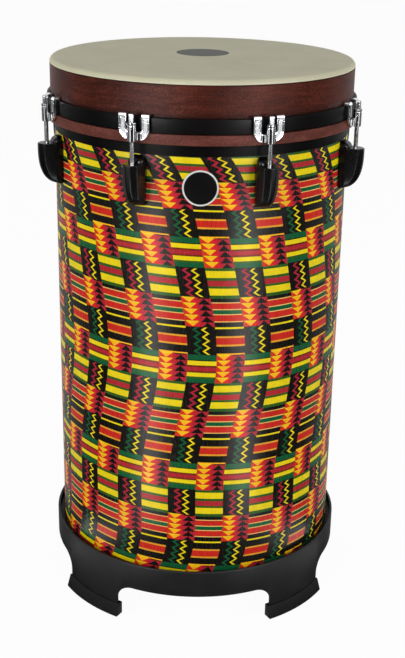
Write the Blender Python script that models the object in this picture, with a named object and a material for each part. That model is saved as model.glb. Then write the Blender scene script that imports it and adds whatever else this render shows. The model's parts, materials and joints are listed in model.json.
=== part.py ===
"""A tunable floor conga: a straight printed shell on a four-legged base, with a claw-tuned head.

Every piece that comes off the real drum on a bench is an object of its own. Units are metres and
+Z is up. The drum stands on z = 0 with its axis on the Z axis, and its badge faces -Y.
"""

import math

import bmesh
import bpy
from mathutils import Matrix, Vector

# Whole drum
HEAD_HEIGHT = 0.663  # floor to the playing face
COLLAR_RADIUS = 0.178  # outside of the wooden collar
SEGMENTS = 56  # facets round the drum
STATIONS = 8  # tuning stations round the drum
FEET = 4

# Fits
FIT_GAP = 0.0003  # between pieces that touch
RUN_GAP = 0.0004  # round a rod, a nut or a screw

# Head: skin, collar, flesh hoop and the steel band that presses on the hoop
SKIN = 0.0006
SKIN_SHOULDER = 0.0055  # radius at which the skin turns down
SHOULDER_STEPS = 3
COLLAR_WALL = 0.0049
COLLAR_DROP = 0.0683  # playing face to the collar's lower edge
HOOP_HEIGHT = 0.0113
HOOP_WALL = 0.0046
BAND_HEIGHT = 0.0164
BAND_WALL = 0.0035
EDGE = 0.001  # eased edge of the hoop and the band

# Shell and its printed wrap
SHELL_WALL = 0.007
BEARING_ROUND = 0.0026  # outside of the edge that carries the skin
WRAP = 0.0006
BARE_BAND = 0.0135  # black shell left bare under the collar

# Claws
CLAW_WIDTH = 0.0355
CLAW_ARM = 0.009  # width of one arm
CLAW_PLATE = 0.003
CLAW_DROP = 0.0248  # top of the band to the bottom of the claw
CLAW_WEB = 0.0085  # height of the bridge between the arms
CLAW_CORNER = 0.011  # outer radius of the U
CLAW_SLOT_FILLET = 0.003
CLAW_STEPS = 4
HOOK_STEPS = 3
GUSSET_NECK = 0.9  # share of the barrel's radius
GUSSET_INSET = 0.0004
BARREL_RADIUS = 0.0048
BARREL_HEIGHT = 0.0167
BARREL_SINK = 0.0008  # how far the barrel is set into the plate

# Tension rods and the nuts in the lugs
ROD_RADIUS = 0.00275
ROD_SIDES = 10
ROD_TIP = 0.0008
ROD_TAIL = 0.004  # thread that shows below the nut
FLANGE_RADIUS = 0.005
FLANGE = 0.0026
KEY_SIDE = 0.006  # square for the tuning key
KEY_HEIGHT = 0.0092
NUT_RADIUS = 0.0045
NUT_LENGTH = 0.0124

# Lugs
LUG_DECK_DROP = 0.0898  # playing face to the flat top of the lug
LUG_HEIGHT = 0.0473
LUG_STRAIGHT = 0.006  # upright part under the deck
LUG_WIDTH = 0.0225
LUG_FOOT_WIDTH = 0.016
LUG_FOOT_DEPTH = 0.0015
LUG_FRONT_WALL = 0.0053
LUG_ROOF = 0.005  # between the nut and the deck
LUG_STEPS = 6
LUG_FACETS = ((0, 0.96), (0.35, 1.0), (0.78, 0.8), (1.0, 0.27))  # shares of depth and half width
LUG_SHOULDER_RISE = 0.0073
LUG_SHOULDER_DEPTH = 0.0105
LUG_SHOULDER_WIDTH = 0.018

# Lug screws, driven from inside the shell
SCREW_RADIUS = 0.0022
SCREW_SIDES = 6
SCREW_BITE = 0.0063  # length inside the lug
SCREW_HEAD_RADIUS = 0.0045
SCREW_HEAD = 0.0026
UPPER_SCREW_RISE = 0.0018  # above the deck
LOWER_SCREW_RISE = 0.0155  # above the lug's lower end

# Base and its rubber feet
BASE_HEIGHT = 0.0775
BASE_WALL = 0.0086
BASE_LIP = 0.0012  # eased edge of the rim
BASE_RIM = 0.0028  # thin rim that stands off the wrap
BASE_GROOVE = 0.011  # depth behind the rim
LEDGE_HEIGHT = 0.050  # floor to the seat of the shell
LEDGE = 0.0045
LEDGE_REACH = 0.0025  # ledge shows this far inside the shell
LEG_WALL = 0.0045
LEG_ANGLE = math.radians(28.6)
ARCH_HEIGHT = 0.0435
ARCH_FILLET = 0.018
ARCH_STEPS = 4
FOOT_HEIGHT = 0.016
FOOT_SOLE = 0.006  # rubber under the leg
FOOT_WALL = 0.0013  # rubber round the leg at the top
FOOT_FLARE = 0.0046  # added on the outside at the sole
FOOT_EDGE = 0.0012
FOOT_STEPS = 6

# Badge
BADGE_RADIUS = 0.019
BADGE_THICKNESS = 0.0012
BADGE_DROP = 0.1152  # playing face to the badge's centre
BADGE_SIDES = 32

# Radii, from the collar inwards and outwards
SHELL_RADIUS = COLLAR_RADIUS - COLLAR_WALL - FIT_GAP
SHELL_INNER = SHELL_RADIUS - SHELL_WALL
WRAP_RADIUS = SHELL_RADIUS + FIT_GAP + WRAP
FACE_RADIUS = COLLAR_RADIUS - SKIN_SHOULDER
BAND_INNER = COLLAR_RADIUS + FIT_GAP
BAND_RADIUS = BAND_INNER + BAND_WALL
HOOP_RADIUS = BAND_INNER + HOOP_WALL
PLATE_INNER = max(BAND_RADIUS, HOOP_RADIUS) + FIT_GAP
PLATE_OUTER = PLATE_INNER + CLAW_PLATE
ROD_CIRCLE = PLATE_OUTER + BARREL_RADIUS - BARREL_SINK
LUG_BACK = WRAP_RADIUS + FIT_GAP
LUG_FRONT = ROD_CIRCLE + NUT_RADIUS + RUN_GAP + LUG_FRONT_WALL
BASE_RADIUS = WRAP_RADIUS + FIT_GAP + BASE_WALL
LEG_INNER = BASE_RADIUS - LEG_WALL

# Heights, from the playing face down
SHOULDER_HEIGHT = HEAD_HEIGHT - SKIN_SHOULDER
COLLAR_FOOT = HEAD_HEIGHT - COLLAR_DROP
HOOP_TOP = COLLAR_FOOT + HOOP_HEIGHT
BAND_FOOT = HOOP_TOP + FIT_GAP
BAND_TOP = BAND_FOOT + BAND_HEIGHT
HOOK_BEND = EDGE + FIT_GAP  # inside radius of the bend over the band
HOOK_AXIS = BAND_TOP + FIT_GAP - HOOK_BEND
CLAW_FOOT = BAND_TOP - CLAW_DROP
BARREL_TOP = CLAW_FOOT + BARREL_HEIGHT
FLANGE_SEAT = BARREL_TOP + FIT_GAP
WRAP_TOP = COLLAR_FOOT - BARE_BAND
LUG_DECK = HEAD_HEIGHT - LUG_DECK_DROP
LUG_FOOT = LUG_DECK - LUG_HEIGHT
NUT_TOP = LUG_DECK - LUG_ROOF - RUN_GAP
NUT_FOOT = NUT_TOP - NUT_LENGTH
ROD_END = NUT_FOOT - ROD_TAIL
SCREW_HEIGHTS = {"upper": LUG_DECK + UPPER_SCREW_RISE, "lower": LUG_FOOT + LOWER_SCREW_RISE}
SHELL_FOOT = LEDGE_HEIGHT + FIT_GAP
BADGE_HEIGHT = HEAD_HEIGHT - BADGE_DROP

CUT_MARGIN = 0.002  # how far a cutter runs past the wall it cuts
WELD = 1e-6  # points nearer than this become one
SMOOTH_ANGLE = math.radians(35)
FRONT = -math.pi / 2


def clear_scene():
    for item in list(bpy.data.objects):
        bpy.data.objects.remove(item)


def material(name, colour, roughness, metallic=0.0):
    made = bpy.data.materials.new(name)
    made.use_nodes = True
    shader = made.node_tree.nodes["Principled BSDF"]
    shader.inputs["Base Color"].default_value = (*colour, 1)
    shader.inputs["Roughness"].default_value = roughness
    shader.inputs["Metallic"].default_value = metallic
    made.diffuse_color = (*colour, 1)
    return made


def placed(name, mesh, finish, parent=None, at=(0, 0, 0)):
    """A visible piece of the drum."""
    piece = bpy.data.objects.new(name, mesh)
    bpy.context.scene.collection.objects.link(piece)
    mesh.materials.clear()
    mesh.materials.append(finish)
    mesh.shade_smooth()
    mesh.set_sharp_from_angle(angle=SMOOTH_ANGLE)
    piece.location = at
    piece.parent = parent
    return piece


def helper(name, mesh):
    """A cutter or a shape to be joined, which isn't a piece of the drum."""
    tool = bpy.data.objects.new(name, mesh)
    bpy.context.scene.collection.objects.link(tool)
    tool.hide_render = True
    tool.display_type = "WIRE"
    return tool


def finished(name, shape):
    """The mesh of a built shape, with its faces pointing out."""
    bmesh.ops.remove_doubles(shape, verts=shape.verts[:], dist=WELD)
    bmesh.ops.recalc_face_normals(shape, faces=shape.faces[:])
    mesh = bpy.data.meshes.new(name)
    shape.to_mesh(mesh)
    shape.free()
    return mesh


def combine(target, tools, operation):
    for tool in tools:
        step = target.modifiers.new(tool.name, "BOOLEAN")
        step.operation = operation
        step.solver = "EXACT"
        step.object = tool


def settled(target, tools):
    """The mesh of a helper with its Booleans applied. The helpers are taken away."""
    bpy.context.view_layer.update()
    graph = bpy.context.evaluated_depsgraph_get()
    mesh = bpy.data.meshes.new_from_object(target.evaluated_get(graph))
    for item in [target, *tools]:
        bpy.data.objects.remove(item)
    return mesh


def arc(centre, radii, start, end, steps):
    """Points on an elliptic arc, both ends included."""
    angles = [start + (end - start) * step / steps for step in range(steps + 1)]
    return [
        (centre[0] + radii[0] * math.cos(angle), centre[1] + radii[1] * math.sin(angle))
        for angle in angles
    ]


def circle(radius, sides):
    return arc((0, 0), (radius, radius), 0, 2 * math.pi, sides)[:-1]


def round_hole(radius, sides):
    """A circle whose flats, not its corners, lie at the radius."""
    return circle(radius / math.cos(math.pi / sides), sides)


def about_axis(points, turn):
    """Points turned about Z."""
    spin = Matrix.Rotation(turn, 3, "Z")
    return [spin @ Vector(point) for point in points]


def turned(name, profile, steps=SEGMENTS, start=0.0, sweep=2 * math.pi):
    """Spin (radius, height) points about Z. A profile from axis to axis stays open along the axis."""
    shape = bmesh.new()
    points = [
        shape.verts.new((radius * math.cos(start), radius * math.sin(start), height))
        for radius, height in profile
    ]
    meets_axis = profile[0][0] == 0
    ends = points[1:] if meets_axis else points[1:] + points[:1]
    edges = [shape.edges.new(pair) for pair in zip(points, ends)]
    whole = sweep == 2 * math.pi
    bmesh.ops.spin(
        shape,
        geom=points + edges,
        axis=(0, 0, 1),
        cent=(0, 0, 0),
        angle=sweep,
        steps=steps,
        use_merge=whole,
    )
    if not whole:
        bmesh.ops.holes_fill(shape, edges=shape.edges[:])
    return finished(name, shape)


def extrude(shape, outline, direction):
    """Add a prism to a shape."""
    face = shape.faces.new([shape.verts.new(point) for point in outline])
    grown = bmesh.ops.extrude_face_region(shape, geom=[face], use_keep_orig=True)["geom"]
    moved = [item for item in grown if isinstance(item, bmesh.types.BMVert)]
    bmesh.ops.translate(shape, verts=moved, vec=direction)


def prisms(name, parts):
    """A helper of one or more prisms, each an outline of 3-D points and the vector that extrudes it."""
    shape = bmesh.new()
    for outline, direction in parts:
        extrude(shape, outline, direction)
    return helper(name, finished(name, shape))


def bar_x(ring, start, end, height):
    """Outline and vector of a bar along X from a ring of (y, z) points."""
    return [(start, across, height + rise) for across, rise in ring], Vector((end - start, 0, 0))


def bar_z(ring, radius, low, high):
    """Outline and vector of a bar along Z from a ring of (x, y) points, at a radius out along X."""
    return [(radius + out, across, low) for out, across in ring], Vector((0, 0, high - low))


def station_turns():
    """Directions of the tuning stations. The front lies midway between the first two."""
    step = 2 * math.pi / STATIONS
    return [FRONT + (index - 0.5) * step for index in range(STATIONS)]


def foot_turns():
    """Directions of the legs. The front lies midway between the first two."""
    step = 2 * math.pi / FEET
    return [FRONT + (index - 0.5) * step for index in range(FEET)]


def under_skin(radius):
    """Height just below the skin at a radius."""
    drop = SKIN_SHOULDER - SKIN - FIT_GAP
    past = max(0.0, radius - FACE_RADIUS)
    return SHOULDER_HEIGHT + math.sqrt(drop**2 - past**2)


def eased_ring(inner, outer, low, high):
    """Profile of a flat ring with its outer edges eased."""
    return [
        (inner, high),
        (outer - EDGE, high),
        (outer, high - EDGE),
        (outer, low + EDGE),
        (outer - EDGE, low),
        (inner, low),
    ]


def skin_profile():
    """Skin from the axis out over the shoulder, and back along its underside."""
    centre = (FACE_RADIUS, SHOULDER_HEIGHT)
    inner = SKIN_SHOULDER - SKIN
    top = arc(centre, (SKIN_SHOULDER, SKIN_SHOULDER), math.pi / 2, 0, SHOULDER_STEPS)
    underside = arc(centre, (inner, inner), 0, math.pi / 2, SHOULDER_STEPS)
    return [(0, HEAD_HEIGHT), *top, *underside, (0, HEAD_HEIGHT - SKIN)]


def collar_profile():
    """Collar with a rounded crown that carries the skin's shoulder."""
    inner = COLLAR_RADIUS - COLLAR_WALL
    drop = SKIN_SHOULDER - SKIN - FIT_GAP
    last = math.acos(max(0.0, (inner - FACE_RADIUS) / drop))
    crown = arc((FACE_RADIUS, SHOULDER_HEIGHT), (drop, drop), 0, last, SHOULDER_STEPS)
    seam = SHOULDER_HEIGHT - FIT_GAP
    return [
        (COLLAR_RADIUS, COLLAR_FOOT),
        (COLLAR_RADIUS, seam),
        (crown[0][0], seam),
        *crown[1:],
        (inner, COLLAR_FOOT),
    ]


def shell_profile():
    """Shell with a rounded bearing edge under the skin, cut back on the inside."""
    crest_radius = SHELL_RADIUS - BEARING_ROUND
    crest = under_skin(crest_radius)
    centre = (crest_radius, crest - BEARING_ROUND)
    return [
        (SHELL_INNER, SHELL_FOOT),
        (SHELL_RADIUS, SHELL_FOOT),
        *arc(centre, (BEARING_ROUND, BEARING_ROUND), 0, math.pi / 2, SHOULDER_STEPS),
        (SHELL_INNER, crest - (crest_radius - SHELL_INNER)),
    ]


def screw_hole_cutter():
    """Every screw hole through the shell and its wrap."""
    ring = round_hole(SCREW_RADIUS + RUN_GAP, SCREW_SIDES)
    parts = []
    for turn in station_turns():
        for height in SCREW_HEIGHTS.values():
            outline, vector = bar_x(ring, SHELL_INNER - CUT_MARGIN, WRAP_RADIUS + CUT_MARGIN, height)
            parts.append((about_axis(outline, turn), about_axis([vector], turn)[0]))
    return prisms("screw_hole_cutter", parts)


def build_shell(finishes):
    holes = screw_hole_cutter()
    wrap_inner = SHELL_RADIUS + FIT_GAP
    shell = placed("shell", turned("shell", shell_profile()), finishes["shell"])
    wrap_profile = [
        (wrap_inner, SHELL_FOOT),
        (WRAP_RADIUS, SHELL_FOOT),
        (WRAP_RADIUS, WRAP_TOP),
        (wrap_inner, WRAP_TOP),
    ]
    wrap = placed("printed_wrap", turned("printed_wrap", wrap_profile), finishes["print"])
    combine(shell, [holes], "DIFFERENCE")
    combine(wrap, [holes], "DIFFERENCE")


def build_head(finishes):
    hoop = eased_ring(BAND_INNER, HOOP_RADIUS, COLLAR_FOOT, HOOP_TOP)
    band = eased_ring(BAND_INNER, BAND_RADIUS, BAND_FOOT, BAND_TOP)
    placed("head_skin", turned("head_skin", skin_profile()), finishes["skin"])
    placed("head_collar", turned("head_collar", collar_profile()), finishes["wood"])
    placed("flesh_hoop", turned("flesh_hoop", hoop), finishes["hoop"])
    placed("tension_band", turned("tension_band", band), finishes["band"])


def claw_outline():
    """Outline of the claw's U, in (y, z), up to where the arms bend over the band."""
    half = CLAW_WIDTH / 2
    corner = CLAW_CORNER
    fillet = CLAW_SLOT_FILLET
    slot = half - CLAW_ARM
    bridge = CLAW_FOOT + CLAW_WEB
    right = arc((half - corner, CLAW_FOOT + corner), (corner, corner), -math.pi / 2, 0, CLAW_STEPS)
    inner = arc((slot - fillet, bridge + fillet), (fillet, fillet), 0, -math.pi / 2, CLAW_STEPS // 2)
    half_outline = [*right, (half, HOOK_AXIS), (slot, HOOK_AXIS), *inner]
    return half_outline + [(-across, height) for across, height in reversed(half_outline)]


def claw_plate():
    """The U-shaped plate, with each arm bent over the band and run in to the collar."""
    shape = bmesh.new()
    outline = [(PLATE_INNER, across, height) for across, height in claw_outline()]
    extrude(shape, outline, (CLAW_PLATE, 0, 0))
    ends = [face for face in shape.faces if face.calc_center_median().z > HOOK_AXIS - EDGE / 2]
    for end in ends:
        rim = [*end.verts, *end.edges]
        bmesh.ops.delete(shape, geom=[end], context="FACES_ONLY")
        bent = bmesh.ops.spin(
            shape,
            geom=rim,
            axis=(0, -1, 0),
            cent=(PLATE_INNER - HOOK_BEND, 0, HOOK_AXIS),
            angle=math.pi / 2,
            steps=HOOK_STEPS,
        )
        edges = [item for item in bent["geom_last"] if isinstance(item, bmesh.types.BMEdge)]
        lip = bmesh.ops.extrude_edge_only(shape, edges=edges)["geom"]
        moved = [item for item in lip if isinstance(item, bmesh.types.BMVert)]
        bmesh.ops.translate(shape, verts=moved, vec=(BAND_INNER - PLATE_INNER + HOOK_BEND, 0, 0))
    bmesh.ops.holes_fill(shape, edges=shape.edges[:])
    return helper("claw_plate", finished("claw_plate", shape))


def claw_mesh():
    """Claw casting: bent plate, barrel for the rod, and the gusset that ties the two."""
    plate = claw_plate()
    barrel = prisms(
        "claw_barrel", [bar_z(circle(BARREL_RADIUS, ROD_SIDES), ROD_CIRCLE, CLAW_FOOT - FIT_GAP, BARREL_TOP)]
    )
    spread = CLAW_WIDTH / 2 - CLAW_CORNER / 2
    neck = BARREL_RADIUS * GUSSET_NECK
    middle = (PLATE_INNER + PLATE_OUTER) / 2
    gusset_plan = [
        (middle, -spread),
        (PLATE_OUTER + FIT_GAP, -spread),
        (ROD_CIRCLE, -neck),
        (ROD_CIRCLE, neck),
        (PLATE_OUTER + FIT_GAP, spread),
        (middle, spread),
    ]
    low = CLAW_FOOT + GUSSET_INSET
    high = CLAW_FOOT + CLAW_WEB - GUSSET_INSET
    gusset = prisms("claw_gusset", [([(out, y, low) for out, y in gusset_plan], (0, 0, high - low))])
    hole = prisms(
        "claw_hole",
        [
            bar_z(
                round_hole(ROD_RADIUS + RUN_GAP, ROD_SIDES),
                ROD_CIRCLE,
                CLAW_FOOT - CUT_MARGIN,
                BARREL_TOP + CUT_MARGIN,
            )
        ],
    )
    combine(plate, [gusset, barrel], "UNION")
    combine(plate, [hole], "DIFFERENCE")
    return settled(plate, [gusset, barrel, hole])


def rod_mesh():
    """Tension rod about its own axis: thread, flange and square head for the key."""
    flange_top = FLANGE_SEAT + FLANGE
    profile = [
        (0, ROD_END),
        (ROD_RADIUS - ROD_TIP, ROD_END),
        (ROD_RADIUS, ROD_END + ROD_TIP),
        (ROD_RADIUS, FLANGE_SEAT),
        (FLANGE_RADIUS, FLANGE_SEAT),
        (FLANGE_RADIUS - EDGE / 2, flange_top),
        (0, flange_top),
    ]
    rod = helper("rod", turned("tension_rod", profile, ROD_SIDES))
    half = KEY_SIDE / 2
    square = [(-half, -half), (half, -half), (half, half), (-half, half)]
    key = prisms("rod_key", [bar_z(square, 0, flange_top - FLANGE / 2, flange_top + KEY_HEIGHT)])
    combine(rod, [key], "UNION")
    return settled(rod, [key])


def nut_mesh():
    """Nut about the rod's axis."""
    bore = (ROD_RADIUS + RUN_GAP) / math.cos(math.pi / ROD_SIDES)
    profile = [(bore, NUT_FOOT), (NUT_RADIUS, NUT_FOOT), (NUT_RADIUS, NUT_TOP), (bore, NUT_TOP)]
    return turned("swivel_nut", profile, ROD_SIDES)


def lug_section(height):
    """Faceted section of the lug at a height, in (x, y), from the back to the front."""
    straight_foot = LUG_DECK - LUG_STRAIGHT
    fall = max(0.0, straight_foot - height) / (straight_foot - LUG_FOOT)
    share = math.sqrt(max(0.0, 1 - fall**2))
    depth = LUG_FOOT_DEPTH + (LUG_FRONT - LUG_BACK - LUG_FOOT_DEPTH) * share
    half = (LUG_FOOT_WIDTH + (LUG_WIDTH - LUG_FOOT_WIDTH) * share) / 2
    side = [(LUG_BACK + depth * out, half * across) for out, across in LUG_FACETS]
    return side + [(out, -across) for out, across in reversed(side)]


def lug_body():
    """Loft of the faceted sections, from the narrow foot up to the flat deck."""
    shape = bmesh.new()
    straight_foot = LUG_DECK - LUG_STRAIGHT
    falls = [math.sin(math.pi / 2 * (1 - step / LUG_STEPS)) for step in range(LUG_STEPS + 1)]
    heights = [straight_foot - fall * (straight_foot - LUG_FOOT) for fall in falls] + [LUG_DECK]
    rings = []
    for height in heights:
        rings.append([shape.verts.new((out, across, height)) for out, across in lug_section(height)])
    for low, high in zip(rings, rings[1:]):
        for index in range(len(low)):
            nearer = index - 1
            shape.faces.new((low[nearer], low[index], high[index], high[nearer]))
    shape.faces.new(rings[0])
    shape.faces.new(rings[-1])
    return helper("lug_body", finished("lug_body", shape))


def lug_mesh():
    """Lug casing: lofted cup with a rounded shoulder, open at the back for its nut."""
    body = lug_body()
    root = LUG_DECK - LUG_ROOF
    half = LUG_SHOULDER_WIDTH / 2
    rise = LUG_SHOULDER_RISE
    round_top = arc((LUG_BACK, LUG_DECK), (LUG_SHOULDER_DEPTH, rise), 0, math.pi / 2, LUG_STEPS // 2)
    side = [(LUG_BACK + FIT_GAP / 2, root), (LUG_BACK + LUG_SHOULDER_DEPTH, root), *round_top[:-1]]
    side.append((LUG_BACK + FIT_GAP / 2, LUG_DECK + rise))
    shoulder = prisms("lug_shoulder", [([(out, -half, z) for out, z in side], (0, 2 * half, 0))])
    pocket_radius = NUT_RADIUS + RUN_GAP
    pocket_plan = arc((0, 0), (pocket_radius, pocket_radius), -math.pi / 2, math.pi / 2, ROD_SIDES // 2)
    slot = LUG_BACK - CUT_MARGIN - ROD_CIRCLE
    pocket_plan = [(slot, -pocket_radius), *pocket_plan, (slot, pocket_radius)]
    rod_ring = round_hole(ROD_RADIUS + RUN_GAP, ROD_SIDES)
    screw_ring = round_hole(SCREW_RADIUS + RUN_GAP, SCREW_SIDES)
    bite = LUG_BACK + SCREW_BITE + RUN_GAP
    cutters = [
        prisms("nut_pocket", [bar_z(pocket_plan, ROD_CIRCLE, NUT_FOOT - RUN_GAP, NUT_TOP + RUN_GAP)]),
        prisms("rod_hole", [bar_z(rod_ring, ROD_CIRCLE, ROD_END - RUN_GAP, LUG_DECK + CUT_MARGIN)]),
    ]
    for place, height in SCREW_HEIGHTS.items():
        cutters.append(prisms(place, [bar_x(screw_ring, LUG_BACK - CUT_MARGIN, bite, height)]))
    combine(body, [shoulder], "UNION")
    combine(body, cutters, "DIFFERENCE")
    return settled(body, [shoulder, *cutters])


def screw_mesh():
    """Screw along its own Z axis, with its head inside the shell and its tip in the lug."""
    seat = SHELL_INNER * math.cos(math.pi / SEGMENTS) - FIT_GAP
    tip = LUG_BACK + SCREW_BITE
    profile = [
        (0, seat - SCREW_HEAD),
        (SCREW_HEAD_RADIUS - EDGE, seat - SCREW_HEAD),
        (SCREW_HEAD_RADIUS, seat - SCREW_HEAD + EDGE),
        (SCREW_HEAD_RADIUS, seat),
        (SCREW_RADIUS, seat),
        (SCREW_RADIUS, tip),
        (0, tip),
    ]
    return turned("lug_screw", profile, SCREW_SIDES)


def build_stations(finishes):
    """Claw, rod, lug, nut and two screws at each tuning station."""
    meshes = {
        "claw": claw_mesh(),
        "rod": rod_mesh(),
        "lug": lug_mesh(),
        "nut": nut_mesh(),
        "screw": screw_mesh(),
    }
    on_rod = (ROD_CIRCLE, 0, 0)
    for number, turn in enumerate(station_turns(), start=1):
        station = bpy.data.objects.new(f"station_{number}", None)
        bpy.context.scene.collection.objects.link(station)
        station.rotation_euler.z = turn
        placed(f"claw_{number}", meshes["claw"], finishes["chrome"], station)
        placed(f"tension_rod_{number}", meshes["rod"], finishes["chrome_rod"], station, on_rod)
        placed(f"lug_{number}", meshes["lug"], finishes["lug"], station)
        placed(f"swivel_nut_{number}", meshes["nut"], finishes["steel"], station, on_rod)
        for place, height in SCREW_HEIGHTS.items():
            name = f"lug_screw_{number}_{place}"
            screw = placed(name, meshes["screw"], finishes["screw"], station, (0, 0, height))
            screw.rotation_euler.y = math.pi / 2


def arch_cutter():
    """The arches between the legs, as prisms with rounded upper corners."""
    half = BASE_RADIUS * math.sin(math.pi / FEET - LEG_ANGLE / 2)
    top = ARCH_HEIGHT - ARCH_FILLET
    corner = arc((half - ARCH_FILLET, top), (ARCH_FILLET, ARCH_FILLET), 0, math.pi / 2, ARCH_STEPS)
    side = [(half, -CUT_MARGIN), *corner]
    ring = side + [(-across, height) for across, height in reversed(side)]
    start = math.sqrt(LEG_INNER**2 - half**2) - CUT_MARGIN
    outline, vector = bar_x(ring, start, BASE_RADIUS + CUT_MARGIN, 0)
    parts = []
    for foot in foot_turns():
        turn = foot + math.pi / FEET
        parts.append((about_axis(outline, turn), about_axis([vector], turn)[0]))
    return prisms("arch_cutter", parts)


def build_base(finishes):
    """Base ring with a ledge for the shell and a thin rim round it, cut into legs by the arches."""
    socket = WRAP_RADIUS + FIT_GAP
    rim_inner = BASE_RADIUS - BASE_RIM
    groove_floor = BASE_HEIGHT - BASE_GROOVE
    ledge_inner = SHELL_INNER - LEDGE_REACH
    profile = [
        (LEG_INNER, FOOT_SOLE + FIT_GAP),
        (BASE_RADIUS, FOOT_SOLE + FIT_GAP),
        (BASE_RADIUS, BASE_HEIGHT - BASE_LIP),
        (BASE_RADIUS - BASE_LIP, BASE_HEIGHT),
        (rim_inner, BASE_HEIGHT),
        (rim_inner, groove_floor),
        (socket, groove_floor),
        (socket, LEDGE_HEIGHT),
        (ledge_inner, LEDGE_HEIGHT),
        (ledge_inner, LEDGE_HEIGHT - LEDGE),
        (LEG_INNER, LEDGE_HEIGHT - LEDGE),
    ]
    base = placed("foot_base", turned("foot_base", profile), finishes["base"])
    combine(base, [arch_cutter()], "DIFFERENCE")


def foot_mesh():
    """Rubber boot, flared outwards to its sole, with a socket for the end of a leg."""
    inner = LEG_INNER - FIT_GAP - FOOT_WALL
    outer = BASE_RADIUS + FIT_GAP + FOOT_WALL
    profile = [
        (inner, FOOT_HEIGHT),
        (inner, FOOT_EDGE),
        (inner + FOOT_EDGE, 0),
        (outer + FOOT_FLARE - FOOT_EDGE, 0),
        (outer + FOOT_FLARE, FOOT_EDGE),
        (outer, FOOT_HEIGHT),
    ]
    socket_sweep = LEG_ANGLE + 2 * FIT_GAP / LEG_INNER
    sweep = socket_sweep + 2 * FOOT_WALL / BASE_RADIUS
    boot = helper("boot", turned("rubber_foot", profile, FOOT_STEPS, -sweep / 2, sweep))
    socket_inner = LEG_INNER * math.cos(math.pi / SEGMENTS) - FIT_GAP
    socket_outer = BASE_RADIUS + FIT_GAP
    socket_profile = [
        (socket_inner, FOOT_SOLE),
        (socket_outer, FOOT_SOLE),
        (socket_outer, FOOT_HEIGHT + CUT_MARGIN),
        (socket_inner, FOOT_HEIGHT + CUT_MARGIN),
    ]
    socket_mesh = turned("socket", socket_profile, FOOT_STEPS, -socket_sweep / 2, socket_sweep)
    socket = helper("socket", socket_mesh)
    combine(boot, [socket], "DIFFERENCE")
    return settled(boot, [socket])


def build_feet(finishes):
    mesh = foot_mesh()
    for number, turn in enumerate(foot_turns(), start=1):
        foot = placed(f"rubber_foot_{number}", mesh, finishes["rubber"])
        foot.rotation_euler.z = turn


def build_badge(finishes):
    """Thin round badge, curved to the shell."""
    step = 2 * math.pi / SEGMENTS
    inner = LUG_BACK
    low = BADGE_HEIGHT - BADGE_RADIUS - CUT_MARGIN
    high = BADGE_HEIGHT + BADGE_RADIUS + CUT_MARGIN
    profile = [(inner, low), (inner + BADGE_THICKNESS, low), (inner + BADGE_THICKNESS, high), (inner, high)]
    facets = 2 * math.ceil(BADGE_RADIUS / inner / step + 0.5)
    sweep = facets * step
    badge = placed("badge", turned("badge", profile, facets, FRONT - sweep / 2, sweep), finishes["badge"])
    ring = circle(BADGE_RADIUS, BADGE_SIDES)
    outline, vector = bar_x(ring, inner - CUT_MARGIN * 2, inner + BADGE_THICKNESS + CUT_MARGIN, BADGE_HEIGHT)
    parts = [(about_axis(outline, FRONT), about_axis([vector], FRONT)[0])]
    combine(badge, [prisms("badge_round", parts)], "INTERSECT")


def finishes_of_the_drum():
    return {
        "shell": material("black_shell", (0.012, 0.012, 0.013), 0.4),
        "print": material("printed_wrap", (0.55, 0.20, 0.05), 0.3),
        "skin": material("drum_skin", (0.38, 0.36, 0.28), 0.6),
        "wood": material("collar_wood", (0.075, 0.028, 0.02), 0.45),
        "hoop": material("hoop_wood", (0.12, 0.035, 0.025), 0.45),
        "band": material("black_steel", (0.016, 0.016, 0.017), 0.4),
        "chrome": material("chrome", (0.8, 0.8, 0.82), 0.08, 1.0),
        "chrome_rod": material("chrome_rod", (0.62, 0.62, 0.64), 0.2, 1.0),
        "lug": material("black_lug", (0.008, 0.008, 0.009), 0.25),
        "steel": material("zinc_steel", (0.5, 0.5, 0.48), 0.4, 1.0),
        "screw": material("screw_steel", (0.45, 0.45, 0.46), 0.35, 1.0),
        "base": material("base_plastic", (0.02, 0.02, 0.021), 0.6),
        "rubber": material("black_rubber", (0.012, 0.012, 0.012), 0.8),
        "badge": material("badge_enamel", (0.01, 0.01, 0.01), 0.25),
    }


def main():
    clear_scene()
    finishes = finishes_of_the_drum()
    build_shell(finishes)
    build_head(finishes)
    build_stations(finishes)
    build_base(finishes)
    build_feet(finishes)
    build_badge(finishes)


main()
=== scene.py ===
"""Looks of the floor conga: finer meshes, procedural finishes, soft studio light and the camera.

Units are metres in the drum's own frame: +Z up, the badge facing -Y and the soles on z = 0. Overall
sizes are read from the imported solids. The sizes named below add the detail of each piece.
"""

import json
import math

import bmesh
import bpy
from mathutils import Matrix, Quaternion, Vector


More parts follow.
